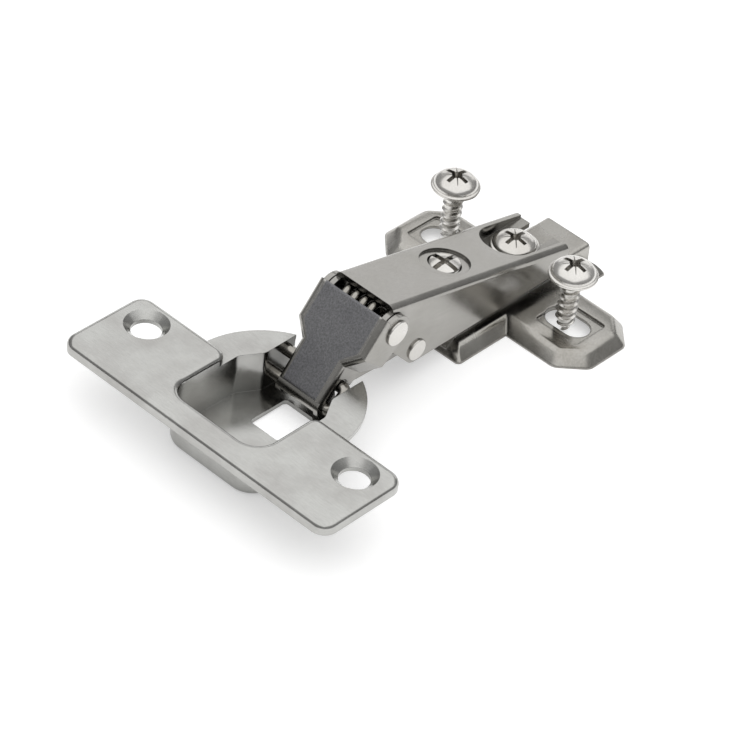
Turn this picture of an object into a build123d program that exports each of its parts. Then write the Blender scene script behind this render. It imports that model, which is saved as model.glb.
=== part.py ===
from build123d import *
import math
import os

# Concealed cup hinge for a cabinet door, drawn open, all sizes in millimetres.
# X runs from the cup to the rear of the mounting plate and Z points away from the cabinet side.
# The origin is the middle of the plate's screw line, on the plate's base face.

# General fits
sheet = 1.1                 # pressed steel sheet of arm, links and plate
side_gap = 0.25             # flat faces that slide past each other
pin_clearance = 0.05        # radial, turning pin in its hole
thread_clearance = 0.3      # radial, adjusting screw in the arm's collar

# Pivots, as (X, Z)
front_pivot = (-41.9, 17.0)
rear_pivot = (-33.7, 7.9)
cup_origin = (-65.0, 12.0)
outer_axle = (cup_origin[0] + 9.6, cup_origin[1] - 7.6)
inner_axle = (cup_origin[0] + 13.2, cup_origin[1] - 4.4)
rivet_radius = 1.3
axle_radius = 1.2

# Cup, its own sizes from the cup centre and the top of the flange
flange_half_length = 32.9
flange_front = 20.3
flange_back = 0.2
flange_height = 2.2
flange_sheet = 1.2
flange_corner = 3.0
flange_bend = 1.1
flange_notch_corner = 2.0
hole_spacing = 52.0
hole_offset = 5.5
hole_radius = 2.9
hole_dish_radius = 4.3
bore_radius = 17.5
rim_thickness = 1.0
cup_depth = 11.9
cup_wall = 0.9
bowl_bottom_bend = 1.8
pocket_front = 14.6
pocket_half_width = 10.9
cheek_half_width = 8.3
pocket_waist_start = 3.0
pocket_waist_end = 7.5
bore_clearance = 0.05
pocket_waist_bend = 2.0
cup_rear = 15.3
rear_sill_drop = 7.6
window_front = 0.4
window_rear = 9.0
window_half_width = 3.6

# Arm
arm_half_width = 7.1
arm_top_front = (-41.9, 21.9)
arm_slope = 12.7
arm_rear = 9.1
arm_bottom = 5.2
arm_nose_radius = 3.4
arm_heel_radius = 2.9
arm_bend = 1.3

# Outer link
ear_half_width = arm_half_width + side_gap + sheet
ear_radius = 3.4
link_top = (-45.0, 21.3)
link_angle = 50.97
link_length = 19.2
link_waist_half = 5.35
link_waist_start = 8.3
link_waist_end = 11.3
axle_eye_radius = 2.1
axle_way_clearance = 0.4

# Inner link
inner_link_half = link_waist_half - sheet - 0.4
inner_eye_radius = 2.0
drift_along = 3.9
drift_up = 0.7
drift_down = 0.35
rear_eye_margin = 1.2
inner_web_gap = 7.0

# Spring
spring_wire = 0.8
spring_radius = 2.7
spring_pitch = 2.1
spring_turns = 4.5

# Mounting plate
wing_half_x = 10.1
wing_half_y = 26.4
wing_corner = 5.0
wing_height = 2.7
wing_taper = 40.0
ridge_half_width = arm_half_width - sheet - 0.4
ridge_front = -26.4
ridge_rear = 17.9
ridge_low = 5.6
ridge_high = 8.3
foot_front = -23.5
foot_rear = 19.4
foot_half_width = 9.6
screw_spacing = 32.0
slot_half_width = 2.9
slot_length = 9.6
slot_recess_half_x = 4.4
slot_recess_depth = 0.5

# Screws
fixing_x = 1.1
seat_top = 9.9
fixing_head_radius = 4.75
fixing_shank_radius = 2.5
depth_travel = 2.5
seat_recess_radius = 5.3
seat_front = fixing_x - depth_travel - 0.2
seat_wall = 0.7
adjuster_x = -19.7
adjuster_radius = 3.0
collar_wall = 1.1
adjuster_neck_radius = 1.7
adjuster_foot_radius = 2.4
adjuster_foot_height = 0.9
adjuster_top = 16.5
wood_head_radius = 4.9
wood_neck_radius = 1.9
wood_thread_radius = 2.1
wood_point = 3.0
wood_length = 13.4
near_screw = (-0.3, -15.4, 13.4)
far_screw = (0.5, 15.4, 15.3)


def arm_top_at(x):
    """Height of the arm's top face at a place along X."""
    return arm_top_front[1] - (x - arm_top_front[0]) * math.tan(math.radians(arm_slope))


def corner_inside(front, side, limit):
    """Radius that keeps the corner of a rectangle inside a circle of the limit's radius."""
    excess = front + side - limit
    return excess - math.sqrt(excess**2 - (front**2 + side**2 - limit**2))


def cross_recess(length, width):
    """Sketch of a cross for a driver, in the open sketch."""
    Rectangle(length, width)
    Rectangle(width, length)


# The link's sheet runs down along its own face, with the face's normal up and to the front
link_face = Plane(
    origin=(link_top[0], 0, link_top[1]),
    x_dir=(-math.cos(math.radians(link_angle)), 0, -math.sin(math.radians(link_angle))),
    z_dir=(-math.sin(math.radians(link_angle)), 0, math.cos(math.radians(link_angle))),
)
arm_face = Plane(
    origin=(arm_top_front[0], 0, arm_top_front[1]),
    x_dir=(math.cos(math.radians(arm_slope)), 0, -math.sin(math.radians(arm_slope))),
    z_dir=(math.sin(math.radians(arm_slope)), 0, math.cos(math.radians(arm_slope))),
)
cup_top = Plane(origin=(cup_origin[0], 0, cup_origin[1]), z_dir=(0, 0, 1))

# Plan of the pocket: straight front, a waist, and two cheeks towards the rear
pocket_corner = corner_inside(pocket_front, pocket_half_width, bore_radius - cup_wall - bore_clearance)
with BuildSketch() as pocket_plan:
    with BuildLine():
        Polyline(
            (-pocket_front, -pocket_half_width),
            (pocket_waist_start, -pocket_half_width),
            (pocket_waist_end, -cheek_half_width),
            (cup_rear, -cheek_half_width),
            (cup_rear, cheek_half_width),
            (pocket_waist_end, cheek_half_width),
            (pocket_waist_start, pocket_half_width),
            (-pocket_front, pocket_half_width),
            close=True,
        )
    make_face()
    plan_columns = pocket_plan.vertices().group_by(Axis.X)
    fillet(plan_columns[0], radius=pocket_corner)
    fillet(pocket_plan.vertices().filter_by(lambda v: 0 < v.X < cup_rear - 1.0), radius=pocket_waist_bend)

# Plan of the flange, notched by the pocket
flange_middle = (flange_back - flange_front) / 2
flange_width = flange_back + flange_front
with BuildSketch() as flange_plan:
    with Locations((flange_middle, 0)):
        RectangleRounded(flange_width, 2 * flange_half_length, flange_corner)
    add(pocket_plan.sketch, mode=Mode.SUBTRACT)
    notch_corners = flange_plan.vertices().filter_by(
        lambda v: v.X > flange_back - 0.1 and abs(v.Y) < pocket_half_width + 0.1
    )
    fillet(notch_corners, radius=flange_notch_corner)

# Cup with flange, bowl and rim, drawn from one sheet
with BuildPart() as hinge_cup:
    # flange plate with its edges and the pocket's mouth drawn down
    with BuildSketch(cup_top):
        add(flange_plan.sketch)
    extrude(amount=-flange_height)
    fillet(hinge_cup.faces().sort_by(Axis.Z)[-1].edges(), radius=flange_bend)
    with BuildSketch(cup_top.offset(-flange_height)):
        add(flange_plan.sketch)
        offset(amount=-flange_sheet)
    extrude(amount=flange_height - flange_sheet, mode=Mode.SUBTRACT)
    # rim disc behind the flange
    with BuildSketch(cup_top.offset(-flange_height)):
        Circle(bore_radius)
        with Locations((flange_back - flange_sheet, 0)):
            Rectangle(
                2 * bore_radius, 4 * bore_radius, align=(Align.MAX, Align.CENTER), mode=Mode.SUBTRACT
            )
    extrude(amount=-rim_thickness)
    # bowl, narrowing to the two cheeks
    with BuildSketch(cup_top.offset(-cup_depth)):
        add(pocket_plan.sketch)
        offset(amount=cup_wall)
        with Locations((cup_rear, 0)):
            Rectangle(2 * cup_wall, 4 * bore_radius, align=(Align.MIN, Align.CENTER), mode=Mode.SUBTRACT)
        Circle(bore_radius - bore_clearance, mode=Mode.INTERSECT)
    extrude(amount=cup_depth - flange_height)
    bowl_bottom = hinge_cup.faces().sort_by(Axis.Z)[0].edges().filter_by(
        lambda edge: edge.center().X < cup_origin[0] + cup_rear - 1.0
    )
    fillet(bowl_bottom, radius=bowl_bottom_bend)
    with BuildSketch(cup_top.offset(-flange_height)):
        add(pocket_plan.sketch)
    extrude(amount=flange_height - cup_depth + cup_wall, mode=Mode.SUBTRACT)
    # open rear between the cheeks, down to a sill, for the links to lie in
    with BuildSketch(cup_top):
        with Locations((cup_rear - 1.5, 0)):
            Rectangle(2 * bore_radius, 2 * cheek_half_width, align=(Align.MIN, Align.CENTER))
    extrude(amount=-rear_sill_drop, mode=Mode.SUBTRACT)
    # window through the floor
    with BuildSketch(cup_top.offset(-cup_depth)):
        with Locations(((window_rear - window_front) / 2, 0)):
            RectangleRounded(window_front + window_rear, 2 * window_half_width, 0.8)
    extrude(amount=2 * cup_wall, mode=Mode.SUBTRACT)
    # plunged holes for the door screws
    for side in (-1, 1):
        with BuildSketch(cup_top.offset(-flange_height)):
            with Locations((-hole_offset, side * hole_spacing / 2)):
                Circle(hole_radius + 0.9)
        extrude(amount=flange_height - 0.5)
        with BuildSketch(cup_top.offset(-flange_height)):
            with Locations((-hole_offset, side * hole_spacing / 2)):
                Circle(hole_radius)
        extrude(amount=2 * flange_height, mode=Mode.SUBTRACT)
        with Locations((cup_origin[0] - hole_offset, side * hole_spacing / 2, cup_origin[1] - 0.7)):
            Cone(hole_radius, hole_dish_radius, 1.4, mode=Mode.SUBTRACT)
    # axle holes through the far cheek
    with BuildSketch(Plane.XZ.offset(-cheek_half_width + 1.0)):
        with Locations(outer_axle, inner_axle):
            Circle(axle_radius)
    extrude(amount=-cup_wall - 2.0, mode=Mode.SUBTRACT)
hinge_cup.part.label = "hinge_cup"

# Double axle: one bent wire whose two legs are the pivots of the links
clip_bend_y = link_waist_half + 0.3 + axle_radius
clip_leg_end = cheek_half_width + cup_wall
clip_bend = 1.3
with BuildPart() as axle_clip:
    bend_point_outer = (outer_axle[0], -clip_bend_y, outer_axle[1])
    bend_point_inner = (inner_axle[0], -clip_bend_y, inner_axle[1])
    with BuildLine() as clip_path:
        FilletPolyline(
            (outer_axle[0], clip_leg_end, outer_axle[1]),
            bend_point_outer,
            bend_point_inner,
            (inner_axle[0], clip_leg_end, inner_axle[1]),
            radius=clip_bend,
        )
    with BuildSketch(Plane(origin=clip_path.line @ 0, z_dir=clip_path.line % 0)):
        Circle(axle_radius)
    sweep()
axle_clip.part.label = "axle_clip"

# Outer link: waisted channel with ears outside the arm
with BuildPart() as outer_link:
    ear_reach = 4.5
    with BuildSketch(link_face.offset(-14.0)):
        with BuildLine():
            Polyline(
                (-ear_reach, -ear_half_width),
                (link_waist_start, -ear_half_width),
                (link_waist_end, -link_waist_half),
                (link_length + 4.0, -link_waist_half),
                (link_length + 4.0, link_waist_half),
                (link_waist_end, link_waist_half),
                (link_waist_start, ear_half_width),
                (-ear_reach, ear_half_width),
                close=True,
            )
        make_face()
    extrude(amount=14.0)
    top_bends = outer_link.faces().sort_by(Axis(link_face.origin, link_face.z_dir))[-1].edges().filter_by(
        lambda edge: abs((edge @ 0).Y - (edge @ 1).Y) < 2 * ear_half_width - 4.0
        and abs(edge.center().Y) > 1.0
    )
    fillet(top_bends, radius=1.3)
    # inside of the channel
    with BuildSketch(link_face.offset(-sheet)):
        with BuildLine():
            Polyline(
                (-ear_reach - 1.0, sheet - ear_half_width),
                (link_waist_start - 0.4, sheet - ear_half_width),
                (link_waist_end - 0.4, sheet - link_waist_half),
                (link_length + 5.0, sheet - link_waist_half),
                (link_length + 5.0, link_waist_half - sheet),
                (link_waist_end - 0.4, link_waist_half - sheet),
                (link_waist_start - 0.4, ear_half_width - sheet),
                (-ear_reach - 1.0, ear_half_width - sheet),
                close=True,
            )
        make_face()
    extrude(amount=-14.0, mode=Mode.SUBTRACT)
    # side view: ears round the front rivet, tapering to the eyes on the outer axle
    face_end = (
        link_top[0] - link_length * math.cos(math.radians(link_angle)),
        link_top[1] - link_length * math.sin(math.radians(link_angle)),
    )
    with BuildSketch(Plane.XZ) as link_side:
        with Locations(front_pivot):
            Circle(ear_radius)
        with Locations(outer_axle):
            Circle(axle_eye_radius)
        make_hull()
        with BuildLine():
            Polyline(link_top, face_end, outer_axle, front_pivot, close=True)
        make_face()
    extrude(amount=2 * ear_half_width, both=True, mode=Mode.INTERSECT)
    # notch in the sides for the inner axle, which swings round the outer one
    axle_run = math.hypot(inner_axle[0] - outer_axle[0], inner_axle[1] - outer_axle[1])
    axle_lead = math.degrees(math.atan2(inner_axle[1] - outer_axle[1], inner_axle[0] - outer_axle[0]))
    with BuildSketch(Plane.XZ):
        for turn in (0, 20, 40, 60):
            way = math.radians(axle_lead - turn)
            with Locations((outer_axle[0] + axle_run * math.cos(way), outer_axle[1] + axle_run * math.sin(way))):
                Circle(axle_radius + axle_way_clearance)
        make_hull()
    extrude(amount=2 * ear_half_width, both=True, mode=Mode.SUBTRACT)
    # the sheet stops short of the spring at the top
    with BuildSketch(link_face.offset(0.5)):
        with Locations((0, 0)):
            Rectangle(12.0, 2 * (ear_half_width - sheet), align=(Align.MAX, Align.CENTER))
    extrude(amount=-8.0, mode=Mode.SUBTRACT)
    # rivet holes in the ears and axle holes at the lower end
    with BuildSketch(Plane.XZ):
        with Locations(front_pivot):
            Circle(rivet_radius + pin_clearance)
        with Locations(outer_axle):
            Circle(axle_radius + pin_clearance)
    extrude(amount=2 * ear_half_width, both=True, mode=Mode.SUBTRACT)
outer_link.part.label = "outer_link"

# Inner link: narrow channel between the inner axle and the rear rivet
link_run = math.hypot(rear_pivot[0] - inner_axle[0], rear_pivot[1] - inner_axle[1])
inner_face = Plane(
    origin=(inner_axle[0], 0, inner_axle[1]),
    x_dir=(rear_pivot[0] - inner_axle[0], 0, rear_pivot[1] - inner_axle[1]),
    z_dir=(0, -1, 0),
)
with BuildPart() as inner_link:
    slot_reach = rivet_radius + pin_clearance + 0.1
    with BuildSketch(inner_face) as inner_side:
        Circle(inner_eye_radius)
        with Locations((link_run - drift_along / 2, (drift_up - drift_down) / 2)):
            RectangleRounded(
                drift_along + 2 * (slot_reach + rear_eye_margin),
                drift_up + drift_down + 2 * (slot_reach + rear_eye_margin),
                slot_reach,
            )
        make_hull()
    extrude(amount=inner_link_half, both=True)
    # hollow between the cheeks, open on the side of the outer link
    with BuildSketch(inner_face) as inner_hollow:
        Rectangle(4 * link_run, 4 * link_run)
        with Locations((link_run / 2, -inner_eye_radius)):
            Rectangle(link_run - inner_web_gap, 2 * sheet, mode=Mode.SUBTRACT)
    extrude(amount=inner_link_half - sheet, both=True, mode=Mode.SUBTRACT)
    # long hole on the rear rivet, which takes up the drift of the opened linkage
    with BuildSketch(inner_face):
        with Locations((link_run - drift_along / 2, (drift_up - drift_down) / 2)):
            RectangleRounded(
                drift_along + 2 * slot_reach,
                drift_up + drift_down + 2 * slot_reach,
                slot_reach - 0.2,
            )
        Circle(axle_radius + pin_clearance)
    extrude(amount=inner_link_half, both=True, mode=Mode.SUBTRACT)
inner_link.part.label = "inner_link"

# Arm: inverted channel, wedge shaped from the side
with BuildPart() as hinge_arm:
    with BuildSketch(Plane.XZ) as arm_side:
        with Locations(front_pivot):
            Circle(arm_nose_radius)
        with Locations(rear_pivot):
            Circle(arm_heel_radius)
        make_hull()
        with BuildLine():
            Polyline(
                arm_top_front,
                (arm_rear, arm_top_at(arm_rear)),
                (arm_rear, arm_bottom),
                (rear_pivot[0], arm_bottom - 0.2),
                rear_pivot,
                front_pivot,
                close=True,
            )
        make_face()
    extrude(amount=arm_half_width, both=True)
    top_edges = hinge_arm.faces().sort_by(Axis(arm_face.origin, arm_face.z_dir))[-1].edges().filter_by(
        lambda edge: abs((edge @ 0).Y) > 1.0 and abs((edge @ 0).Y - (edge @ 1).Y) < 0.1
    )
    fillet(top_edges, radius=arm_bend)
    # inside of the channel
    with BuildSketch(arm_face.offset(-sheet)):
        Rectangle(160.0, 2 * (arm_half_width - sheet))
    extrude(amount=-40.0, mode=Mode.SUBTRACT)
    # pressed seat for the fixing screw, level with the plate
    with BuildSketch(Plane.XY.offset(seat_top - sheet)):
        with Locations((seat_front, 0)):
            Circle(seat_recess_radius + seat_wall)
            Rectangle(arm_rear - seat_front, 2 * (seat_recess_radius + seat_wall), align=(Align.MIN, Align.CENTER))
    extrude(amount=arm_top_at(seat_front - 2 * seat_recess_radius) - seat_top + sheet)
    # collar under the top for the side adjusting screw
    with BuildSketch(Plane.XY.offset(arm_top_at(adjuster_x) - 3.8)):
        with Locations((adjuster_x, 0)):
            Circle(adjuster_radius + thread_clearance + collar_wall)
    extrude(amount=5.0)
    # nothing of the seat or collar stands above the arm's top
    with BuildSketch(arm_face):
        Rectangle(160.0, 40.0)
    extrude(amount=12.0, mode=Mode.SUBTRACT)
    with BuildSketch(Plane.XY.offset(seat_top)):
        with Locations((seat_front, 0)):
            Circle(seat_recess_radius)
            Rectangle(20.0, 2 * seat_recess_radius, align=(Align.MIN, Align.CENTER))
    extrude(amount=10.0, mode=Mode.SUBTRACT)
    # open slot that slides round the fixing screw's shank
    slot_half = fixing_shank_radius + 0.5
    with BuildSketch(Plane.XY):
        with Locations((fixing_x - depth_travel - 0.5, 0)):
            Circle(slot_half)
            Rectangle(30.0, 2 * slot_half, align=(Align.MIN, Align.CENTER))
    extrude(amount=20.0, mode=Mode.SUBTRACT)
    # dimple and threaded hole of the side adjusting screw
    with BuildSketch(arm_face):
        with Locations(((adjuster_x - arm_top_front[0]) / math.cos(math.radians(arm_slope)), 0)):
            Ellipse(5.6, 4.6)
    extrude(amount=-0.5, mode=Mode.SUBTRACT)
    with BuildSketch(Plane.XY):
        with Locations((adjuster_x, 0)):
            Circle(adjuster_radius + thread_clearance)
    extrude(amount=30.0, mode=Mode.SUBTRACT)
    # rivet holes
    with BuildSketch(Plane.XZ):
        with Locations(front_pivot, rear_pivot):
            Circle(rivet_radius)
    extrude(amount=2 * arm_half_width, both=True, mode=Mode.SUBTRACT)
hinge_arm.part.label = "hinge_arm"


def rivet(pivot, reach, head_radius, head_height):
    """Rivet through the arm's walls, with a flat head outside each."""
    with BuildPart() as rivet_part:
        with BuildSketch(Plane.XZ):
            with Locations(pivot):
                Circle(rivet_radius)
        extrude(amount=reach + head_height, both=True)
        for side in (-1, 1):
            with BuildSketch(Plane.XZ.offset(side * reach)):
                with Locations(pivot):
                    Circle(head_radius)
            extrude(amount=side * head_height)
        end_faces = (rivet_part.faces().sort_by(Axis.Y)[0], rivet_part.faces().sort_by(Axis.Y)[-1])
        for face in end_faces:
            fillet(face.edges(), radius=0.25)
    return rivet_part.part


front_rivet = rivet(front_pivot, ear_half_width + 0.05, 2.55, 0.5)
front_rivet.label = "front_rivet"
rear_rivet = rivet(rear_pivot, arm_half_width, 2.2, 0.5)
rear_rivet.label = "rear_rivet"

# Closing spring: torsion coil on the front rivet, with one leg under the arm's top
with BuildPart() as closing_spring:
    coil_length = spring_pitch * spring_turns
    coil_base = Plane(
        origin=(front_pivot[0], -coil_length / 2, front_pivot[1]), x_dir=(0, 0, 1), z_dir=(0, 1, 0)
    )
    with BuildLine() as coil:
        Helix(
            pitch=spring_pitch,
            height=coil_length,
            radius=spring_radius,
            center=coil_base.origin,
            direction=(0, 1, 0),
        )
    with BuildSketch(Plane(origin=coil.line @ 0, z_dir=coil.line % 0)):
        Circle(spring_wire)
    sweep(is_frenet=True)
closing_spring.part.label = "closing_spring"

# Mounting plate: pressed tray with two wings and a raised ridge
with BuildPart() as mounting_plate:
    inset = sheet / math.cos(math.radians(wing_taper))
    with BuildSketch(Plane.XY) as wing_foot:
        Rectangle(2 * wing_half_x, 2 * wing_half_y)
        chamfer(wing_foot.vertices(), wing_corner)
    extrude(amount=wing_height, taper=wing_taper)
    with BuildSketch(Plane.XY):
        with Locations(((foot_front + foot_rear) / 2, 0)):
            RectangleRounded(foot_rear - foot_front, 2 * foot_half_width, 1.0)
    extrude(amount=wing_height, taper=wing_taper)
    # ridge, from the side
    with BuildSketch(Plane.XZ) as ridge_side:
        with BuildLine():
            Polyline(
                (foot_front + 1.2, 0),
                (foot_front + 0.4, 2.2),
                (ridge_front, 4.4),
                (ridge_front, ridge_low + 0.8),
                (fixing_x - 9.0, ridge_low + 0.8),
                (fixing_x - 6.0, ridge_high),
                (fixing_x + 6.5, ridge_high),
                (fixing_x + 9.5, ridge_low),
                (ridge_rear, ridge_low),
                (foot_rear - 1.2, 0),
                close=True,
            )
        make_face()
    extrude(amount=ridge_half_width, both=True)
    ridge_tops = mounting_plate.edges().filter_by(
        lambda edge: edge.center().Z > ridge_low - 0.1 and abs((edge @ 0).Y - (edge @ 1).Y) < 0.1
        and abs(edge.center().Y) > ridge_half_width - 0.1
    )
    fillet(ridge_tops, radius=0.9)
    # hollow underneath
    with BuildSketch(Plane.XY) as wing_hollow:
        Rectangle(2 * (wing_half_x - inset), 2 * (wing_half_y - inset))
        chamfer(wing_hollow.vertices(), wing_corner - 0.5)
    extrude(amount=wing_height - sheet, taper=wing_taper, mode=Mode.SUBTRACT)
    with BuildSketch(Plane.XY):
        with Locations(((foot_front + foot_rear) / 2, 0)):
            Rectangle(foot_rear - foot_front - 2 * inset, 2 * (foot_half_width - inset))
    extrude(amount=wing_height - sheet, taper=wing_taper, mode=Mode.SUBTRACT)
    with BuildSketch(Plane.XZ) as ridge_hollow:
        with BuildLine():
            Polyline(
                (foot_front + 1.2 + sheet, 0),
                (foot_front + 0.4 + sheet, 2.2),
                (ridge_front + sheet, 4.4),
                (ridge_front + sheet, ridge_low + 0.8 - sheet),
                (fixing_x - 8.6, ridge_low + 0.8 - sheet),
                (fixing_x - 5.6, ridge_high - sheet),
                (fixing_x + 6.1, ridge_high - sheet),
                (fixing_x + 9.1, ridge_low - sheet),
                (ridge_rear - sheet, ridge_low - sheet),
                (foot_rear - 1.4 - sheet, 0),
                close=True,
            )
        make_face()
    extrude(amount=ridge_half_width - sheet, both=True, mode=Mode.SUBTRACT)
    # slots for the plate screws in shallow pressed recesses
    for side in (-1, 1):
        with BuildSketch(Plane.XY.offset(wing_height)):
            with Locations((0, side * (screw_spacing / 2 + 0.6))):
                RectangleRounded(2 * slot_recess_half_x, slot_length + 0.6, 0.8)
        extrude(amount=-slot_recess_depth, mode=Mode.SUBTRACT)
        with BuildSketch(Plane.XY):
            with Locations((0, side * screw_spacing / 2)):
                SlotOverall(slot_length, 2 * slot_half_width, rotation=90)
        extrude(amount=wing_height, mode=Mode.SUBTRACT)
    # threaded hole for the fixing screw, with its plunged collar
    with BuildSketch(Plane.XY.offset(ridge_high - sheet - 2.2)):
        with Locations((fixing_x, 0)):
            Circle(fixing_shank_radius + 1.2)
    extrude(amount=2.4)
    with BuildSketch(Plane.XY):
        with Locations((fixing_x, 0)):
            Circle(fixing_shank_radius + pin_clearance)
    extrude(amount=12.0, mode=Mode.SUBTRACT)
    # keyhole that holds the foot of the side adjusting screw
    with BuildSketch(Plane.XY.offset(ridge_low - sheet)):
        with Locations((adjuster_x + 0.5, 0)):
            SlotCenterToCenter(2 * depth_travel + 2.0, 2 * (adjuster_neck_radius + 0.3))
    extrude(amount=4.0, mode=Mode.SUBTRACT)
mounting_plate.part.label = "mounting_plate"

# Fixing screw: flanged head over the arm's seat, shank in the plate
with BuildPart() as fixing_screw:
    head_base = seat_top + 0.2
    with BuildSketch(Plane.XZ) as fixing_profile:
        with BuildLine():
            Line((0, head_base), (fixing_head_radius, head_base))
            Line((fixing_head_radius, head_base), (fixing_head_radius, head_base + 0.6))
            ThreePointArc(
                (fixing_head_radius, head_base + 0.6),
                (0.6 * fixing_head_radius, head_base + 1.75),
                (0, head_base + 2.1),
            )
            Line((0, head_base + 2.1), (0, head_base))
        make_face()
    revolve(axis=Axis.Z)
    with BuildSketch(Plane.XY.offset(ridge_high - sheet - 3.2)):
        Circle(fixing_shank_radius)
    extrude(amount=head_base - ridge_high + sheet + 3.2)
    with BuildSketch(Plane.XY.offset(head_base + 0.4)):
        cross_recess(fixing_head_radius - 0.2, 0.9)
    extrude(amount=3.0, mode=Mode.SUBTRACT)
fixing_screw_part = fixing_screw.part.moved(Location((fixing_x, 0, 0)))
fixing_screw_part.label = "fixing_screw"

# Side adjusting screw: threaded body in the arm's collar, necked foot held by the plate
with BuildPart() as side_adjusting_screw:
    neck_top = ridge_low + 0.8 + 0.3
    neck_bottom = ridge_low + 0.8 - sheet - 0.3
    with BuildSketch(Plane.XY.offset(neck_top)):
        Circle(adjuster_radius)
    extrude(amount=adjuster_top - neck_top)
    chamfer(side_adjusting_screw.faces().sort_by(Axis.Z)[-1].edges(), length=0.4)
    with BuildSketch(Plane.XY.offset(neck_bottom)):
        Circle(adjuster_neck_radius)
    extrude(amount=neck_top - neck_bottom)
    with BuildSketch(Plane.XY.offset(neck_bottom - adjuster_foot_height)):
        Circle(adjuster_foot_radius)
    extrude(amount=adjuster_foot_height)
    with BuildSketch(Plane.XY.offset(adjuster_top - 1.8)):
        cross_recess(4.4, 1.0)
    extrude(amount=3.0, mode=Mode.SUBTRACT)
side_screw_part = side_adjusting_screw.part.moved(Location((adjuster_x, 0, 0)))
side_screw_part.label = "side_adjusting_screw"

# Plate screw: flanged pan head, smooth neck and pointed thread, standing half driven
with BuildPart() as plate_screw:
    with BuildSketch(Plane.XZ) as wood_profile:
        with BuildLine():
            Line((0, 0), (wood_head_radius, 0))
            Line((wood_head_radius, 0), (wood_head_radius, 0.7))
            Line((wood_head_radius, 0.7), (0.74 * wood_head_radius, 1.0))
            ThreePointArc(
                (0.74 * wood_head_radius, 1.0),
                (0.5 * wood_head_radius, 2.1),
                (0, 2.6),
            )
            Line((0, 2.6), (0, 0))
        make_face()
    revolve(axis=Axis.Z)
    with BuildSketch(Plane.XZ) as wood_shank:
        with BuildLine():
            Polyline(
                (0, 0),
                (wood_neck_radius, 0),
                (wood_neck_radius, -3.0),
                (wood_thread_radius, -3.6),
                (wood_thread_radius, wood_point - wood_length),
                (0.2, -wood_length),
                (0, -wood_length),
                close=True,
            )
        make_face()
    revolve(axis=Axis.Z)
    with BuildSketch(Plane.XY.offset(0.8)):
        cross_recess(4.4, 0.9)
    extrude(amount=3.0, mode=Mode.SUBTRACT)
near_plate_screw = plate_screw.part.moved(Location(near_screw))
near_plate_screw.label = "near_plate_screw"
far_plate_screw = plate_screw.part.moved(Location(far_screw))
far_plate_screw.label = "far_plate_screw"

os.makedirs("parts", exist_ok=True)
export_step(hinge_cup.part, "parts/hinge_cup.step")
export_step(axle_clip.part, "parts/axle_clip.step")
export_step(outer_link.part, "parts/outer_link.step")
export_step(inner_link.part, "parts/inner_link.step")
export_step(hinge_arm.part, "parts/hinge_arm.step")
export_step(front_rivet, "parts/front_rivet.step")
export_step(rear_rivet, "parts/rear_rivet.step")
export_step(closing_spring.part, "parts/closing_spring.step")
export_step(mounting_plate.part, "parts/mounting_plate.step")
export_step(fixing_screw_part, "parts/fixing_screw.step")
export_step(side_screw_part, "parts/side_adjusting_screw.step")
export_step(near_plate_screw, "parts/near_plate_screw.step")
export_step(far_plate_screw, "parts/far_plate_screw.step")
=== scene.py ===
"""Looks of a concealed cup hinge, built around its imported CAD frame.

Lengths are in metres, unless a name or a docstring says millimetres.
"""

import logging
import math
from dataclasses import dataclass, field
from enum import Enum
from typing import Any, Callable, Sequence

import bmesh
import bpy
from mathutils import Matrix, Vector


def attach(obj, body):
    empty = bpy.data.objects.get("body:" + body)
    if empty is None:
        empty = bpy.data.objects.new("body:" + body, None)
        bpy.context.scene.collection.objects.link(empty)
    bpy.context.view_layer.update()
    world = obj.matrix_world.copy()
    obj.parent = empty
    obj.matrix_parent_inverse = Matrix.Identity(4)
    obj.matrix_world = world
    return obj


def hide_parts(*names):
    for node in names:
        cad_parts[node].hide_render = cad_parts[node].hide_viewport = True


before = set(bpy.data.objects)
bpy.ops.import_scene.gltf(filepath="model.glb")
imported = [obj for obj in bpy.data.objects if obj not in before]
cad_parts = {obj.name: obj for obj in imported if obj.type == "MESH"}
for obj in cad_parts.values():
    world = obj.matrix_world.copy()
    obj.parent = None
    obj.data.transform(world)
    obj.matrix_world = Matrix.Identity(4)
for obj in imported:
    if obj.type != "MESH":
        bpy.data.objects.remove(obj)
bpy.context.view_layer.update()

log = logging.getLogger("cup_hinge")

MM = 0.001
IMAGE_SIDE_PX = 736
SENSOR_MM = 36.0

Point = tuple[float, float]


class Way(Enum):
    """Main direction of the fine lines that rolling and drawing leave in sheet metal."""

    ALONG_X = (0.12, 1.0, 1.0)
    ALONG_Y = (1.0, 0.12, 1.0)
    NONE = (1.0, 1.0, 1.0)


class Recess(Enum):
    """Driver recess of a screw head."""

    CROSS_WITH_TICKS = "cross_with_ticks"
    CROSS_AND_SLOT = "cross_and_slot"


def linear(hex_colour: str) -> tuple[float, float, float, float]:
    """Turns an sRGB hex colour to linear.

    Args:
        hex_colour: Colour as "#RRGGBB".

    Returns:
        Linear red, green, blue and an alpha of 1.
    """
    parts = [int(hex_colour[i : i + 2], 16) / 255 for i in (1, 3, 5)]
    red, green, blue = (c / 12.92 if c <= 0.04045 else ((c + 0.055) / 1.055) ** 2.4 for c in parts)
    return (red, green, blue, 1.0)


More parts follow.
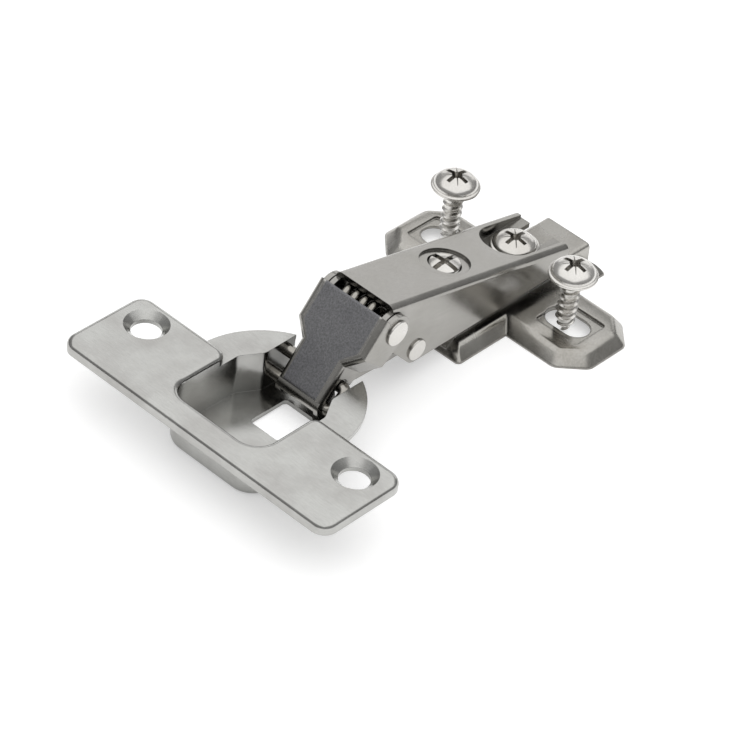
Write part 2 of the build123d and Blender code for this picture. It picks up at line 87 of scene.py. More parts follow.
def add_node(
    tree: bpy.types.NodeTree, kind: str, settings: dict[str, Any] | None = None, **links: Any
) -> bpy.types.Node:
    """Adds a node with its settings and links.

    Args:
        tree: Node tree that the node goes into.
        kind: Blender's type name of the node.
        settings: Attributes by name; a name that isn't an attribute is an input's value. A whole number
            stands for an input by its place.
        links: Output sockets that feed inputs, by input name with _ for a space, or by iNUMBER.

    Returns:
        The new node.
    """
    node = tree.nodes.new(kind)
    for name, value in (settings or {}).items():
        if isinstance(name, str) and hasattr(node, name):
            setattr(node, name, value)
        else:
            node.inputs[name].default_value = value
    for name, source in links.items():
        place = int(name[1:]) if name[0] == "i" and name[1:].isdigit() else name.replace("_", " ")
        tree.links.new(source, node.inputs[place])
    return node


def shader_tree(name: str) -> tuple[bpy.types.Material, bpy.types.NodeTree, bpy.types.Node]:
    """Makes an empty material.

    Args:
        name: Name of the material.

    Returns:
        The material, its node tree and its output node.
    """
    material = bpy.data.materials.new(name)
    material.use_nodes = True
    tree = material.node_tree
    tree.nodes.clear()
    return material, tree, add_node(tree, "ShaderNodeOutputMaterial")


@dataclass(frozen=True)
class PlatedSteel:
    """Nickel plate on steel: a warm pale grey metal whose gloss follows how the steel below was made.

    The grain is the fine lines or pebbling of the steel, which the plate is too slight to hide. The haze is
    the slow change of gloss across a barrel-plated surface. Painted shade darkens the colour by up to the set
    fraction in corners, recesses and gaps between parts, where ambient occlusion finds them within the set
    distance.
    """

    name: str
    colour: str
    shade: str
    roughness: float
    haze: float = 0.05
    haze_mm: float = 9.0
    grain_mm: float = 0.25
    grain_depth_mm: float = 0.0015
    mottle: float = 0.05
    way: Way = Way.NONE
    edge_mm: float = 0.12
    cavity_shade: float = 0.6
    cavity_shade_mm: float = 7.0

    def build(self) -> bpy.types.Material:
        """Makes the material.

        Returns:
            The finished material.
        """
        material, tree, output = shader_tree(self.name)
        place = add_node(tree, "ShaderNodeTexCoord").outputs["Object"]
        stretched = add_node(
            tree, "ShaderNodeMapping", {"Scale": tuple(v / MM for v in self.way.value)}, Vector=place
        ).outputs["Vector"]
        grain = add_node(
            tree,
            "ShaderNodeTexNoise",
            {"Scale": 1 / self.grain_mm, "Detail": 3.0, "Roughness": 0.6},
            Vector=stretched,
        ).outputs[0]
        haze = add_node(
            tree,
            "ShaderNodeTexNoise",
            {"Scale": 1 / (self.haze_mm * MM), "Detail": 4.0, "Roughness": 0.55},
            Vector=place,
        ).outputs[0]
        gloss = add_node(
            tree,
            "ShaderNodeMapRange",
            {
                "From Min": 0.3,
                "From Max": 0.7,
                "To Min": self.roughness - self.haze,
                "To Max": self.roughness + self.haze,
            },
            Value=haze,
        ).outputs[0]
        tone = add_node(tree, "ShaderNodeValToRGB", {}, Fac=haze)
        for element, position, value in zip(
            tone.color_ramp.elements, (0.32, 0.62), (self.shade, self.colour)
        ):
            element.position = position
            element.color = linear(value)
        colour, gloss = self._dress(tree, place, tone.outputs["Color"], gloss)
        fleck = add_node(
            tree,
            "ShaderNodeMapRange",
            {"From Min": 0.3, "From Max": 0.7, "To Min": 1 - self.mottle, "To Max": 1 + self.mottle},
            Value=grain,
        ).outputs[0]
        colour = add_node(
            tree, "ShaderNodeVectorMath", {"operation": "SCALE"}, i0=colour, Scale=fleck
        ).outputs[0]
        # Painted shade: ambient occlusion darkens the colour in corners, recesses and between parts
        open_sky = add_node(
            tree, "ShaderNodeAmbientOcclusion", {"samples": 8, "Distance": self.cavity_shade_mm * MM}
        ).outputs["AO"]
        painted_cavity_shade = add_node(
            tree,
            "ShaderNodeMapRange",
            {"From Max": 0.85, "To Min": 1 - self.cavity_shade, "To Max": 1.0},
            Value=open_sky,
        ).outputs[0]
        colour = add_node(
            tree, "ShaderNodeVectorMath", {"operation": "SCALE"}, i0=colour, Scale=painted_cavity_shade
        ).outputs[0]
        rounded = add_node(tree, "ShaderNodeBevel", {"samples": 6, "Radius": self.edge_mm * MM}).outputs[0]
        bump = add_node(
            tree,
            "ShaderNodeBump",
            {"Strength": 1.0, "Distance": self.grain_depth_mm * MM},
            Height=grain,
            Normal=rounded,
        ).outputs[0]
        steel = add_node(
            tree,
            "ShaderNodeBsdfPrincipled",
            {"Metallic": 1.0},
            Base_Color=colour,
            Roughness=gloss,
            Normal=bump,
        )
        tree.links.new(steel.outputs[0], output.inputs["Surface"])
        return material

    def _dress(
        self,
        tree: bpy.types.NodeTree,
        place: bpy.types.NodeSocket,
        colour: bpy.types.NodeSocket,
        gloss: bpy.types.NodeSocket,
    ) -> tuple[bpy.types.NodeSocket, bpy.types.NodeSocket]:
        """Changes colour and gloss from place to place; plain plate keeps both.

        Args:
            tree: Shader tree of the material.
            place: Object coordinates.
            colour: Colour of the plate.
            gloss: Roughness of the plate.

        Returns:
            Colour and roughness to use.
        """
        return colour, gloss


@dataclass(frozen=True)
class PaintedDarkFaceField(PlatedSteel):
    """Middle of the outer link's face, darker as painted dark reflection, with lips along both edges in a
    lighter colour as painted highlight of rounded bends.

    Lengths are in millimetres, and run is measured down the face from the link's top edge.
    """

    top: Point = (-45.0, 21.3)
    angle: float = 50.97
    run: Point = (7.6, 10.6)
    half: Point = (6.7, 4.5)
    # Painted highlight: the lips are lighter where rounded bends would catch the light
    lip_highlight_colour: str = "#B4B2AE"
    lip_gloss: float = 0.24

    def _dress(
        self,
        tree: bpy.types.NodeTree,
        place: bpy.types.NodeSocket,
        colour: bpy.types.NodeSocket,
        gloss: bpy.types.NodeSocket,
    ) -> tuple[bpy.types.NodeSocket, bpy.types.NodeSocket]:
        """Keeps the painted dark colour and rough gloss between the lips only, and gives the lips a lighter
        painted highlight colour.

        Args:
            tree: Shader tree of the material.
            place: Object coordinates.
            colour: Painted dark colour of the field.
            gloss: Roughness of the field.

        Returns:
            Colour and roughness with the lips mixed in.
        """
        a = math.radians(self.angle)
        down = (-math.cos(a), 0.0, -math.sin(a))
        start = (self.top[0] * down[0] + self.top[1] * down[2]) * MM
        along = add_node(
            tree, "ShaderNodeVectorMath", {"operation": "DOT_PRODUCT", 1: down}, i0=place
        ).outputs["Value"]
        half = add_node(
            tree,
            "ShaderNodeMapRange",
            {
                "interpolation_type": "SMOOTHSTEP",
                "From Min": start + self.run[0] * MM,
                "From Max": start + self.run[1] * MM,
                "To Min": self.half[0] * MM,
                "To Max": self.half[1] * MM,
            },
            Value=along,
        ).outputs[0]
        across = add_node(tree, "ShaderNodeSeparateXYZ", {}, Vector=place).outputs["Y"]
        across = add_node(tree, "ShaderNodeMath", {"operation": "ABSOLUTE"}, i0=across).outputs[0]
        inside = add_node(tree, "ShaderNodeMath", {"operation": "SUBTRACT"}, i0=half, i1=across).outputs[0]
        # Painted dark reflection in the middle of the face, painted highlight colour on the lips along its
        # edges
        dark_reflection_mask = add_node(
            tree, "ShaderNodeMapRange", {"From Min": -0.1 * MM, "From Max": 0.15 * MM}, Value=inside
        ).outputs[0]
        mixed = add_node(
            tree, "ShaderNodeMix", {"data_type": "RGBA", 6: linear(self.lip_highlight_colour)}, i0=dark_reflection_mask, i7=colour
        ).outputs[2]
        mixed_gloss = add_node(
            tree, "ShaderNodeMix", {"data_type": "FLOAT", 2: self.lip_gloss}, i0=dark_reflection_mask, i3=gloss
        ).outputs[0]
        return mixed, mixed_gloss


# Satin nickel over cold-rolled sheet: soft grey with faint lines along the strip
SATIN_SHEET = PlatedSteel(
    # Stronger painted shade in the bowl and corners of the cup
    "nickel_plated_pressed_sheet", "#BBBBB8", "#A8A7A4", 0.2, way=Way.ALONG_Y, cavity_shade=0.72
)
SATIN_ARM = PlatedSteel("nickel_plated_pressed_arm_sheet", "#A7A5A1", "#9B9994", 0.23, way=Way.ALONG_X)
# The mounting plate is coarser and more uneven, with wide soft bends
SATIN_PLATE = PlatedSteel(
    "nickel_plated_pressed_plate_sheet",
    "#B3B1AC",
    "#A19E98",
    0.24,
    haze=0.07,
    grain_mm=0.35,
    mottle=0.08,
    edge_mm=0.5,
)
# The link's outer face gets a darker colour that paints the dark surround it reflects, with a rougher gloss
# and fine speckle
LINK_FACE_PAINTED_REFLECTION = PaintedDarkFaceField(
    "link_face_painted_dark_reflection",
    "#8A8A8C",
    "#808083",
    0.5,
    grain_mm=0.3,
    grain_depth_mm=0.01,
    edge_mm=0.7,
    mottle=0.3,
)
# Turned rivets and rolled screws come from the same barrel, with a brighter skin
BRIGHT_TURNED = PlatedSteel(
    "bright_nickel_turned_steel",
    "#DCDAD6",
    "#CAC7C2",
    0.24,
    grain_depth_mm=0.001,
    # Weaker, shorter-reaching painted shade in drive recesses and under heads
    cavity_shade=0.35,
    cavity_shade_mm=1.2,
)
# Drawn wire keeps a slightly darker, smooth skin
DRAWN_WIRE = PlatedSteel("drawn_spring_wire", "#B4B1AB", "#9E9A92", 0.22, grain_mm=0.2)


@dataclass
class MaterialShelf:
    """Builds each finish once and hands it out."""

    made: dict[str, bpy.types.Material] = field(default_factory=dict)

    def get(self, finish: PlatedSteel) -> bpy.types.Material:
        """Gives the material of a finish, building it on first use.

        Args:
            finish: Finish that is wanted.

        Returns:
            Its material.
        """
        if finish.name not in self.made:
            self.made[finish.name] = finish.build()
        return self.made[finish.name]


def mesh_object(name: str, mesh: bpy.types.Mesh) -> bpy.types.Object:
    """Links a mesh into the scene as an object at the origin.

    Args:
        name: Name of the object.
        mesh: Its mesh.

    Returns:
        The object.
    """
    obj = bpy.data.objects.new(name, mesh)
    bpy.context.scene.collection.objects.link(obj)
    return obj


def turned_mesh(name: str, profile: Sequence[Point], steps: int = 72) -> bpy.types.Mesh:
    """Turns a profile round Z.

    Args:
        name: Name of the mesh.
        profile: Points (radius, height) from one end of the axis to the other, in millimetres.
        steps: Number of steps round the axis.

    Returns:
        A closed mesh in metres, with its normals outwards.
    """
    mesh = bpy.data.meshes.new(name)
    bm = bmesh.new()
    rings: list[list[bmesh.types.BMVert]] = []
    for radius, height in profile:
        if radius == 0:
            rings.append([bm.verts.new((0, 0, height * MM))])
            continue
        rings.append(
            [
                bm.verts.new(
                    (
                        radius * MM * math.cos(2 * math.pi * i / steps),
                        radius * MM * math.sin(2 * math.pi * i / steps),
                        height * MM,
                    )
                )
                for i in range(steps)
            ]
        )
    for low, high in zip(rings, rings[1:]):
        for i in range(steps):
            j = (i + 1) % steps
            corners = [low[i % len(low)], low[j % len(low)], high[j % len(high)], high[i % len(high)]]
            unique = list(dict.fromkeys(corners))
            if len(unique) > 2:
                bm.faces.new(unique)
    bmesh.ops.recalc_face_normals(bm, faces=bm.faces)
    bm.to_mesh(mesh)
    bm.free()
    return mesh


def tapered_bar(bm: bmesh.types.BMesh, top: Point, bottom: Point, heights: Point, turn: float) -> None:
    """Adds a bar that narrows downwards, for cutting a driver recess.

    Args:
        bm: Mesh that it is added to.
        top: Half length and half width at the top, in millimetres.
        bottom: The same at the bottom.
        heights: Height of the top and of the bottom, in millimetres.
        turn: Turn round Z, in degrees.
    """
    spin = Matrix.Rotation(math.radians(turn), 3, "Z")
    corners = []
    for (length, width), height in ((top, heights[0]), (bottom, heights[1])):
        for sx, sy in ((-1, -1), (1, -1), (1, 1), (-1, 1)):
            corners.append(bm.verts.new(spin @ Vector((sx * length * MM, sy * width * MM, height * MM))))
    t, b = corners[:4], corners[4:]
    faces = [t, b[::-1]]
    faces += [[b[i], b[(i + 1) % 4], t[(i + 1) % 4], t[i]] for i in range(4)]
    for corners_of_face in faces:
        bm.faces.new(corners_of_face)


def cut(target: bpy.types.Object, makers: Sequence[Callable[[bmesh.types.BMesh], None]]) -> None:
    """Cuts solids out of an object's mesh for good.

    Args:
        target: Object at the origin whose mesh is cut.
        makers: Functions that each fill an empty mesh with one cutting solid.
    """
    for fill in makers:
        mesh = bpy.data.meshes.new("cutter")
        bm = bmesh.new()
        fill(bm)
        bmesh.ops.recalc_face_normals(bm, faces=bm.faces)
        bm.to_mesh(mesh)
        bm.free()
        cutter = mesh_object("cutter", mesh)
        boolean = target.modifiers.new("recess", "BOOLEAN")
        boolean.operation = "DIFFERENCE"
        boolean.solver = "EXACT"
        boolean.object = cutter
        make_plain(target)
        bpy.data.objects.remove(cutter)
        bpy.data.meshes.remove(mesh)


def make_plain(obj: bpy.types.Object) -> None:
    """Turns an object's live modifiers into its plain mesh.

    Args:
        obj: Object with modifiers.
    """
    bpy.context.view_layer.update()
    evaluated = obj.evaluated_get(bpy.context.evaluated_depsgraph_get())
    mesh = bpy.data.meshes.new_from_object(evaluated)
    obj.modifiers.clear()
    obj.data = mesh


def shade(obj: bpy.types.Object, angle: float = 32.0) -> None:
    """Shades a mesh smooth, with sharp edges where it turns by more than an angle.

    Args:
        obj: Object to shade.
        angle: The angle in degrees.
    """
    mesh = obj.data
    bm = bmesh.new()
    bm.from_mesh(mesh)
    bmesh.ops.remove_doubles(bm, verts=bm.verts, dist=1e-7)
    for face in bm.faces:
        face.smooth = True
    for edge in bm.edges:
        edge.smooth = len(edge.link_faces) == 2 and edge.calc_face_angle() < math.radians(angle)
    bm.to_mesh(mesh)
    bm.free()


class ThreadTree:
    """Geometry Nodes tree that winds a thread round a turned blank, with an optional run down a point."""

    def __init__(self, material: bpy.types.Material) -> None:
        """Builds the tree.

        Args:
            material: Material that the finished screw gets.
        """
        self.tree = bpy.data.node_groups.new("screw_thread", "GeometryNodeTree")
        face = self.tree.interface
        self.inputs: dict[str, str] = {}
        face.new_socket("Geometry", in_out="INPUT", socket_type="NodeSocketGeometry")
        own = ("Turns", "Length", "Radius", "Crest", "Start")
        for name in (*own, "Point Turns", "Point Length", "Point Radius"):
            socket = face.new_socket(name, in_out="INPUT", socket_type="NodeSocketFloat")
            self.inputs[name] = socket.identifier
        face.new_socket("Geometry", in_out="OUTPUT", socket_type="NodeSocketGeometry")
        given = add_node(self.tree, "NodeGroupInput").outputs
        section = add_node(
            self.tree, "GeometryNodeCurvePrimitiveCircle", {"Resolution": 4}, Radius=given["Crest"]
        )
        flat = add_node(
            self.tree, "GeometryNodeTransform", {"Scale": (1.0, 0.55, 1.0)}, Geometry=section.outputs["Curve"]
        )
        body = self._winding(given, flat, "Turns", "Length", "Radius", "Radius", None)
        tip = self._winding(
            given, flat, "Point Turns", "Point Length", "Radius", "Point Radius", given["Length"]
        )
        joined = add_node(self.tree, "GeometryNodeJoinGeometry")
        for part in (given["Geometry"], body, tip):
            self.tree.links.new(part, joined.inputs[0])
        real = add_node(self.tree, "GeometryNodeRealizeInstances", {}, Geometry=joined.outputs[0])
        dressed = add_node(
            self.tree, "GeometryNodeSetMaterial", {"Material": material}, Geometry=real.outputs[0]
        )
        end = add_node(self.tree, "NodeGroupOutput")
        self.tree.links.new(dressed.outputs[0], end.inputs[0])

    def _winding(
        self,
        given: Any,
        flat: bpy.types.Node,
        turns: str,
        length: str,
        start_radius: str,
        end_radius: str,
        lower_by: Any,
    ) -> bpy.types.NodeSocket:
        """Adds one run of thread.

        Args:
            given: Outputs of the group's input node, by name.
            flat: Node that holds the thread's section.
            turns: Name of the input with the turns.
            length: Name of the input with the length.
            start_radius: Name of the input with the radius at the start.
            end_radius: Name of the input with the radius at the end.
            lower_by: Socket with a length that the run starts lower by, or None.

        Returns:
            Socket with the run's mesh.
        """
        tree = self.tree
        spiral = add_node(
            tree,
            "GeometryNodeCurveSpiral",
            {"Resolution": 40},
            Rotations=given[turns],
            Start_Radius=given[start_radius],
            End_Radius=given[end_radius],
            Height=given[length],
        )
        upright = add_node(
            tree, "GeometryNodeSetCurveNormal", {"mode": "Z_UP"}, Curve=spiral.outputs["Curve"]
        )
        wound = add_node(
            tree,
            "GeometryNodeCurveToMesh",
            {"Fill Caps": True},
            Curve=upright.outputs["Curve"],
            Profile_Curve=flat.outputs["Geometry"],
        )
        height = given["Start"]
        if lower_by is not None:
            height = add_node(
                tree, "ShaderNodeMath", {"operation": "ADD"}, i0=given["Start"], i1=lower_by
            ).outputs[0]
        place = add_node(tree, "ShaderNodeCombineXYZ", {}, Z=height)
        moved = add_node(
            tree,
            "GeometryNodeTransform",
            {},
            Geometry=wound.outputs["Mesh"],
            Translation=place.outputs["Vector"],
        )
        return moved.outputs["Geometry"]

    def wind(self, obj: bpy.types.Object, values_mm: dict[str, float], turns: Point) -> None:
        """Winds the thread on an object and turns the result to a plain mesh.

        Args:
            obj: Turned blank round Z, at the origin.
            values_mm: Lengths by input name, in millimetres.
            turns: Turns of the body and of the point.
        """
        modifier = obj.modifiers.new("thread", "NODES")
        modifier.node_group = self.tree
        for name, value in values_mm.items():
            modifier[self.inputs[name]] = value * MM
        modifier[self.inputs["Turns"]] = turns[0]
        modifier[self.inputs["Point Turns"]] = turns[1]
        make_plain(obj)


@dataclass
class Screw:
    """A screw that stands for a CAD node: turned blank, driver recess and wound thread, in millimetres."""

    node: str
    body: str
    place: tuple[float, float, float]
    profile: list[Point]
    thread: dict[str, float]
    turns: Point
    recess: Recess
    recess_top: float
    recess_depth: float
    recess_half: float
    taper: float = 0.55
    finish: PlatedSteel = BRIGHT_TURNED

    def build(self, shelf: MaterialShelf) -> bpy.types.Object:
        """Makes the screw, dresses it and puts it in its place.

        Args:
            shelf: Finished materials.

        Returns:
            The finished object.
        """
        obj = mesh_object(self.node + "_turned", turned_mesh(self.node, self.profile))
        cut(obj, self._recess_makers())
        ThreadTree(shelf.get(self.finish)).wind(obj, self.thread, self.turns)
        obj.data.transform(Matrix.Translation(Vector(self.place) * MM))
        obj.data.materials.clear()
        obj.data.materials.append(shelf.get(self.finish))
        shade(obj)
        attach(obj, self.body)
        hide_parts(self.node)
        log.info("screw %s: %d faces", obj.name, len(obj.data.polygons))
        return obj

    def _recess_makers(self) -> list[Callable[[bmesh.types.BMesh], None]]:
        """Gives the cutting solids of the driver recess.

        Returns:
            Functions that each fill an empty mesh with one solid.
        """
        top, low = self.recess_top + 0.6, self.recess_top - self.recess_depth
        half = self.recess_half
        wing = 0.45 if self.recess is Recess.CROSS_WITH_TICKS else 0.55
        makers: list[Callable[[bmesh.types.BMesh], None]] = []
        for turn in (0.0, 90.0):
            makers.append(
                lambda bm, turn=turn: tapered_bar(
                    bm, (half, wing), (self.taper * half, 0.8 * wing), (top, low), turn
                )
            )
        if self.recess is Recess.CROSS_WITH_TICKS:
            makers.append(lambda bm: tapered_bar(bm, (1.15, 1.15), (0.6, 0.6), (top, low + 0.2), 45.0))
            for turn in (45.0, 135.0):
                makers.append(
                    lambda bm, turn=turn: tapered_bar(
                        bm, (1.35 * half, 0.16), (0.9 * half, 0.05), (top, self.recess_top - 0.55), turn
                    )
                )
        return makers


def dome(radius: float, low: float, high: float, steps: int = 9) -> list[Point]:
    """Gives profile points of a flat dome, from its rim to the axis.

    Args:
        radius: Radius of the rim in millimetres.
        low: Height of the rim.
        high: Height of the top.
        steps: Number of points.

    Returns:
        Points (radius, height) with the last one on the axis.
    """
    points = []
    for i in range(steps + 1):
        a = math.pi / 2 * i / steps
        points.append((radius * math.cos(a) if i < steps else 0.0, low + (high - low) * math.sin(a)))
    return points


@dataclass
class PlateScrews:
    """The two flanged wood screws that stand half driven in the plate's slots. Sizes in millimetres."""

    places: dict[str, tuple[float, float, float]] = field(
        default_factory=lambda: {
            "near_plate_screw": (-0.3, -15.4, 13.4),
            "far_plate_screw": (0.5, 15.4, 15.3),
        }
    )
    bodies: dict[str, str] = field(
        default_factory=lambda: {"near_plate_screw": "near_screw", "far_plate_screw": "far_screw"}
    )
    head_radius: float = 4.8
    neck_radius: float = 1.8
    core_radius: float = 1.5
    length: float = 13.4
    point: float = 3.0
    pitch: float = 1.5

    def build(self, shelf: MaterialShelf) -> None:
        """Builds both screws.

        Args:
            shelf: Finished materials.
        """
        r = self.head_radius
        for node, place in self.places.items():
            profile = [
                (0.0, -self.length),
                (0.15, -self.length + 0.05),
                (self.core_radius, self.point - self.length),
                (self.core_radius, -2.6),
                (self.neck_radius, -2.2),
                (self.neck_radius, -0.35),
                (self.neck_radius + 0.3, 0.0),
                (r - 0.15, 0.0),
                (r, 0.15),
                (r, 0.5),
                (r - 0.12, 0.62),
                *dome(0.9 * r, 0.7, 2.9),
            ]
            run = self.length - self.point - 2.8
            thread = {
                "Length": -run,
                "Radius": self.core_radius,
                "Crest": 0.5,
                "Start": -2.8,
                "Point Length": -self.point + 0.6,
                "Point Radius": 0.35,
            }
            Screw(
                node=node,
                body=self.bodies[node],
                place=place,
                profile=profile,
                thread=thread,
                turns=(run / self.pitch, 1.5),
                recess=Recess.CROSS_WITH_TICKS,
                recess_top=2.9,
                recess_depth=2.1,
                recess_half=3.1,
            ).build(shelf)


@dataclass
class ArmScrews:
    """The fixing screw and the side adjusting screw of the arm. Sizes in millimetres."""

    fixing_x: float = 1.1
    fixing_base: float = 10.1
    fixing_radius: float = 4.75
    adjuster_x: float = -19.7
    adjuster_radius: float = 3.0

    def build(self, shelf: MaterialShelf) -> None:
        """Builds both screws.

        Args:
            shelf: Finished materials.
        """
        r = self.fixing_radius
        fixing = [
            (0.0, -6.1),
            (2.1, -6.1),
            (2.3, -5.7),
            (2.3, -0.3),
            (2.5, 0.0),
            (r - 0.15, 0.0),
            (r, 0.15),
            (r, 0.5),
            (r - 0.12, 0.6),
            *dome(0.9 * r, 0.65, 2.3),
        ]
        thread = {
            "Length": -4.6, "Radius": 2.3, "Crest": 0.2, "Start": -0.9,
            "Point Length": -0.3, "Point Radius": 2.2,
        }
        Screw(
            node="fixing_screw",
            body="fixing",
            place=(self.fixing_x, 0.0, self.fixing_base),
            profile=fixing,
            thread=thread,
            turns=(5.75, 0.4),
            recess=Recess.CROSS_WITH_TICKS,
            recess_top=2.3,
            recess_depth=1.8,
            recess_half=3.1,
        ).build(shelf)
        a = self.adjuster_radius
        top, neck_top, neck_low, foot = 16.9, 6.7, 5.0, 0.9
        adjuster = [
            (0.0, neck_low - foot),
            (2.4, neck_low - foot),
            (2.4, neck_low),
            (1.7, neck_low),
            (1.7, neck_top),
            (a - 0.25, neck_top),
            (a - 0.25, top - 0.6),
            (a, top - 0.5),
            (a, top - 0.3),
            (a - 0.3, top - 0.1),
            (1.4, top + 0.1),
            (0.0, top + 0.15),
        ]
        thread = {
            "Length": -9.2, "Radius": a - 0.25, "Crest": 0.25, "Start": top - 0.8,
            "Point Length": -0.2, "Point Radius": a - 0.35,
        }
        Screw(
            node="side_adjusting_screw",
            body="adjuster",
            place=(self.adjuster_x, 0.0, 0.0),
            profile=adjuster,
            thread=thread,
            turns=(11.0, 0.25),
            recess=Recess.CROSS_AND_SLOT,
            recess_top=top,
            recess_depth=1.5,
            recess_half=3.6,
            taper=0.95,
        ).build(shelf)


@dataclass
class Pressings:
    """The pressed, riveted and bent pieces: CAD nodes with their finishes, and a softened plate."""

    finishes: dict[str, PlatedSteel] = field(
        default_factory=lambda: {
            "hinge_cup": SATIN_SHEET,
            "axle_clip": DRAWN_WIRE,
            "outer_link": SATIN_ARM,
            "inner_link": SATIN_ARM,
            "hinge_arm": SATIN_ARM,
            "front_rivet": BRIGHT_TURNED,
            "rear_rivet": BRIGHT_TURNED,
            "closing_spring": DRAWN_WIRE,
        }
    )
    link_angle: float = 50.97
    wing_top_mm: float = 2.7
    wing_round_mm: float = 0.85
    shortest_bend_mm: float = 1.2
    least_bend: float = 20.0
    base_mm: float = 0.2
    steepest_flank: float = 0.3

    def build(self, shelf: MaterialShelf) -> None:
        """Dresses every CAD node that stays, and rounds the plate's pressed edges on a copy.

        Args:
            shelf: Finished materials.
        """
        self._soften_plate(shelf)
        for node, finish in self.finishes.items():
            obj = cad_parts[node]
            obj.data.materials.clear()
            obj.data.materials.append(shelf.get(finish))
            log.info("pressing %s: %s", node, finish.name)
        self._darken_link_face(shelf)

    def _soften_plate(self, shelf: MaterialShelf) -> None:
        """Makes a copy of the mounting plate whose outer edges are rounded, as deep drawing leaves them.

        Args:
            shelf: Finished materials.
        """
        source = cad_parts["mounting_plate"]
        mesh = source.data.copy()
        mesh.transform(source.matrix_world)
        bm = bmesh.new()
        bm.from_mesh(mesh)
        bmesh.ops.remove_doubles(bm, verts=bm.verts, dist=1e-6)
        bmesh.ops.dissolve_limit(bm, angle_limit=math.radians(0.5), verts=bm.verts, edges=bm.edges)
        bmesh.ops.bevel(
            bm,
            geom=[edge for edge in bm.edges if self._is_pressed_edge(edge)],
            offset=self.wing_round_mm * MM,
            offset_type="OFFSET",
            segments=4,
            profile=0.5,
            affect="EDGES",
            clamp_overlap=True,
        )
        bmesh.ops.triangulate(bm, faces=[face for face in bm.faces if len(face.verts) > 4])
        bm.to_mesh(mesh)
        bm.free()
        obj = mesh_object("mounting_plate_pressed", mesh)
        mesh.materials.clear()
        mesh.materials.append(shelf.get(SATIN_PLATE))
        shade(obj, 25.0)
        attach(obj, "plate")
        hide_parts("mounting_plate")
        log.info("plate copy: %d faces", len(mesh.polygons))

    def _is_pressed_edge(self, edge: bmesh.types.BMEdge) -> bool:
        """Tells whether an edge is one of the wings' outer bends.

        Args:
            edge: Edge of the plate's mesh, with plane faces dissolved.

        Returns:
            True for a bend along the wings' top or down one of their corners.
        """
        if len(edge.link_faces) != 2 or edge.calc_length() < self.shortest_bend_mm * MM:
            return False
        if not edge.is_convex or edge.calc_face_angle() < math.radians(self.least_bend):
            return False
        if any(face.calc_center_median().z < self.base_mm * MM for face in edge.link_faces):
            return False
        if min(face.normal.z for face in edge.link_faces) <= self.steepest_flank:
            return False
        low, high = sorted(vert.co.z / MM for vert in edge.verts)
        at_top = abs(high - self.wing_top_mm) < 0.05
        return at_top and (abs(low - self.wing_top_mm) < 0.05 or low < 0.1)

    def _darken_link_face(self, shelf: MaterialShelf) -> None:
        """Gives the flat outer face of the outer link its painted dark reflection and rougher gloss.

        Args:
            shelf: Finished materials.
        """
        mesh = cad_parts["outer_link"].data
        mesh.materials.append(shelf.get(LINK_FACE_PAINTED_REFLECTION))
        a = math.radians(self.link_angle)
        normal = Vector((-math.sin(a), 0.0, math.cos(a)))
        top = max(v.co.dot(normal) for v in mesh.vertices)
        for face in mesh.polygons:
            if face.normal.dot(normal) > 0.999 and face.center.dot(normal) > top - 0.02 * MM:
                face.material_index = 1


@dataclass
class PhotoCamera:
    """Camera at the photo's angle. Angles in degrees, lengths in metres, image places in pixels."""

    heading: float = 38.19
    down: float = 39.84
    roll: float = 7.94
    distance: float = 0.67188
    focal_px: float = 3522.73
    origin_px: Point = (503.27, 289.72)

    def build(self) -> None:
        """Makes the camera and sets it as the scene's."""
        heading, down, roll = (math.radians(v) for v in (self.heading, self.down, self.roll))
        look = Vector(
            (math.cos(heading) * math.cos(down), math.sin(heading) * math.cos(down), -math.sin(down))
        )
        level = Vector((math.sin(heading), -math.cos(heading), 0.0))
        upright = level.cross(look)
        right = level * math.cos(roll) + upright * math.sin(roll)
        up = upright * math.cos(roll) - level * math.sin(roll)
        half = IMAGE_SIDE_PX / 2
        per_px = self.distance / self.focal_px
        spot = (
            -look * self.distance
            - right * ((self.origin_px[0] - half) * per_px)
            + up * ((self.origin_px[1] - half) * per_px)
        )
        data = bpy.data.cameras.new("photo_camera")
        data.sensor_width = SENSOR_MM
        data.lens = self.focal_px / IMAGE_SIDE_PX * SENSOR_MM
        data.clip_start = 0.01
        camera = bpy.data.objects.new("photo_camera", data)
        turn = Matrix((right, up, -look)).transposed().to_4x4()
        camera.matrix_world = Matrix.Translation(spot) @ turn
        bpy.context.scene.collection.objects.link(camera)
        bpy.context.scene.camera = camera
        log.info("camera %s lens %.1f mm", camera.name, data.lens)


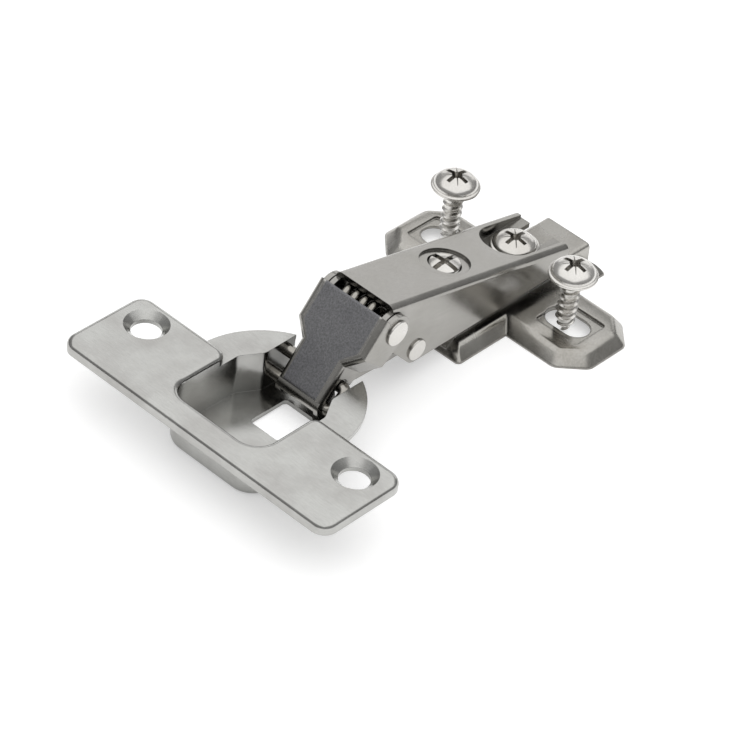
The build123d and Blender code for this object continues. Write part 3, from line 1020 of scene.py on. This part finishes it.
@dataclass
class Studio:
    """White floor, soft overhead light and a dim surround that gives plated bends their dark line."""

    floor_half: float = 1.6
    floor_drop: float = 1e-5
    floor_colour: str = "#F0F0F0"
    floor_lift: float = 0.42
    surround: float = 0.34
    horizon: float = 0.2
    overhead_power: float = 13.5
    panel_power: float = 2.1
    aim: tuple[float, float, float] = (-0.03, 0.0, 0.0)

    def build(self) -> None:
        """Builds floor, world and lamps."""
        self._floor()
        self._world()
        self._lamp("overhead_softbox", (0.0, 0.0, 1.0), (2.2, 2.2), self.overhead_power)
        self._lamp("far_side_panel", (1.1, 0.75, 0.33), (1.4, 0.55), self.panel_power)
        scene = bpy.context.scene
        scene.view_settings.view_transform = "Standard"

    def _floor(self) -> None:
        """Builds the floor, which the camera and reflections see a little lighter than the lamps make it."""
        material, tree, output = shader_tree("white_studio_floor")
        path = add_node(tree, "ShaderNodeLightPath").outputs
        seen = path["Is Camera Ray"]
        for ray in ("Is Glossy Ray", "Is Transmission Ray"):
            seen = add_node(
                tree, "ShaderNodeMath", {"operation": "ADD", "use_clamp": True}, i0=seen, i1=path[ray]
            ).outputs[0]
        lift = add_node(
            tree, "ShaderNodeMath", {"operation": "MULTIPLY", 1: self.floor_lift}, i0=seen
        ).outputs[0]
        matte = add_node(tree, "ShaderNodeBsdfDiffuse", {"Color": linear(self.floor_colour)})
        glow = add_node(tree, "ShaderNodeEmission", {}, Strength=lift)
        both = add_node(tree, "ShaderNodeAddShader", {}, i0=matte.outputs[0], i1=glow.outputs[0])
        tree.links.new(both.outputs[0], output.inputs["Surface"])
        h = self.floor_half
        mesh = bpy.data.meshes.new("floor")
        drop = -self.floor_drop
        mesh.from_pydata([(-h, -h, drop), (h, -h, drop), (h, h, drop), (-h, h, drop)], [], [(0, 1, 2, 3)])
        mesh.materials.append(material)
        mesh_object("floor", mesh)

    def _world(self) -> None:
        """Builds the surround: dim at eye level, lighter above, and white to the camera."""
        world = bpy.data.worlds.new("studio_surround")
        world.use_nodes = True
        tree = world.node_tree
        tree.nodes.clear()
        output = add_node(tree, "ShaderNodeOutputWorld")
        direction = add_node(tree, "ShaderNodeTexCoord").outputs["Generated"]
        height = add_node(tree, "ShaderNodeSeparateXYZ", {}, Vector=direction).outputs["Z"]
        level = add_node(tree, "ShaderNodeValToRGB", {}, Fac=height)
        for element, position, value in zip(
            level.color_ramp.elements, (0.06, 0.30), (self.horizon, self.surround)
        ):
            element.position = position
            element.color = (value, value, value, 1.0)
        path = add_node(tree, "ShaderNodeLightPath").outputs["Is Camera Ray"]
        white = (1.0, 1.0, 1.0, 1.0)
        shown = add_node(
            tree, "ShaderNodeMix", {"data_type": "RGBA", 7: white}, i0=path, i6=level.outputs["Color"]
        )
        sky = add_node(tree, "ShaderNodeBackground", {"Strength": 1.0}, Color=shown.outputs[2])
        tree.links.new(sky.outputs[0], output.inputs["Surface"])
        bpy.context.scene.world = world

    def _lamp(self, name: str, spot: tuple[float, float, float], size: Point, power: float) -> None:
        """Hangs one soft lamp that looks at the hinge.

        Args:
            name: Name of the lamp.
            spot: Its place.
            size: Its width and height.
            power: Its power in watts.
        """
        data = bpy.data.lights.new(name, "AREA")
        data.shape = "RECTANGLE"
        data.size, data.size_y = size
        data.energy = power
        lamp = bpy.data.objects.new(name, data)
        away = Vector(spot) - Vector(self.aim)
        turn = away.to_track_quat("Z", "Y").to_matrix().to_4x4()
        lamp.matrix_world = Matrix.Translation(Vector(spot)) @ turn
        bpy.context.scene.collection.objects.link(lamp)


def main() -> None:
    """Builds everything in order."""
    logging.basicConfig(level=logging.INFO, format="%(name)s: %(message)s")
    shelf = MaterialShelf()
    PhotoCamera().build()
    Studio().build()
    Pressings().build(shelf)
    PlateScrews().build(shelf)
    ArmScrews().build(shelf)


if __name__ == "__main__":
    main()
